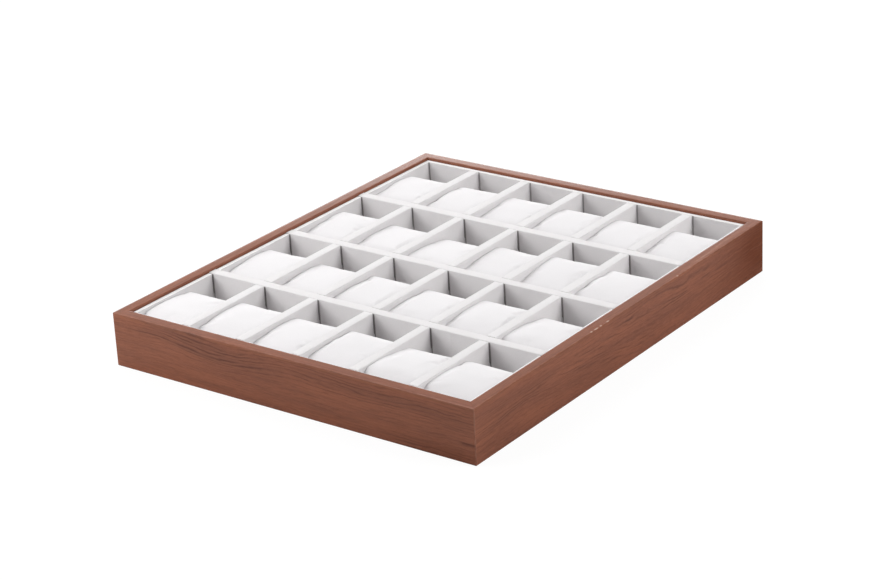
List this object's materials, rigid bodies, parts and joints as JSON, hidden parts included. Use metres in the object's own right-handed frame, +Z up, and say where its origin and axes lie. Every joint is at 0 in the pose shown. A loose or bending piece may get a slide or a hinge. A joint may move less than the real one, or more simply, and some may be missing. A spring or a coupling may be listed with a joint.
{
  "type": "watch display tray",
  "caption": "Shallow mitred walnut tray with a grid of suede-lined cells, each holding a loose watch pillow.",
  "frame": {"origin": "centre of the outline, on the surface that the frame stands on", "axes": "+Z up out of the cells, +Y along the long side towards the back, +X to the right along the short side"},
  "size_m": [0.34, 0.408, 0.0445],
  "materials": {
    "walnut_veneer": "satin walnut veneer, grain along each rail",
    "base_fibreboard": "bare fibreboard",
    "grey_felt": "thin grey felt",
    "pale_suede_walls": "pale grey suede cloth with a short nap",
    "pale_suede_pillows": "off-white suede cloth with a short nap"
  },
  "bodies": {
    "root": {"front_rail": "walnut_veneer", "back_rail": "walnut_veneer", "left_rail": "walnut_veneer", "right_rail": "walnut_veneer", "base_board": "base_fibreboard", "underside_felt": "grey_felt", "floor_lining": "pale_suede_walls", "front_lining": "pale_suede_walls", "back_lining": "pale_suede_walls", "left_lining": "pale_suede_walls", "right_lining": "pale_suede_walls", "long_divider_1": "pale_suede_walls", "long_divider_2": "pale_suede_walls", "long_divider_3": "pale_suede_walls", "cross_divider_1": "pale_suede_walls", "cross_divider_2": "pale_suede_walls", "cross_divider_3": "pale_suede_walls", "cross_divider_4": "pale_suede_walls", "cross_divider_5": "pale_suede_walls", "pillow_r1c1": "pale_suede_pillows", "pillow_r1c2": "pale_suede_pillows", "pillow_r1c3": "pale_suede_pillows", "pillow_r1c4": "pale_suede_pillows", "pillow_r1c5": "pale_suede_pillows", "pillow_r1c6": "pale_suede_pillows", "pillow_r2c1": "pale_suede_pillows", "pillow_r2c2": "pale_suede_pillows", "pillow_r2c3": "pale_suede_pillows", "pillow_r2c4": "pale_suede_pillows", "pillow_r2c5": "pale_suede_pillows", "pillow_r2c6": "pale_suede_pillows", "pillow_r3c1": "pale_suede_pillows", "pillow_r3c2": "pale_suede_pillows", "pillow_r3c3": "pale_suede_pillows", "pillow_r3c4": "pale_suede_pillows", "pillow_r3c5": "pale_suede_pillows", "pillow_r3c6": "pale_suede_pillows", "pillow_r4c1": "pale_suede_pillows", "pillow_r4c2": "pale_suede_pillows", "pillow_r4c3": "pale_suede_pillows", "pillow_r4c4": "pale_suede_pillows", "pillow_r4c5": "pale_suede_pillows", "pillow_r4c6": "pale_suede_pillows"}
  },
  "joints": []
}
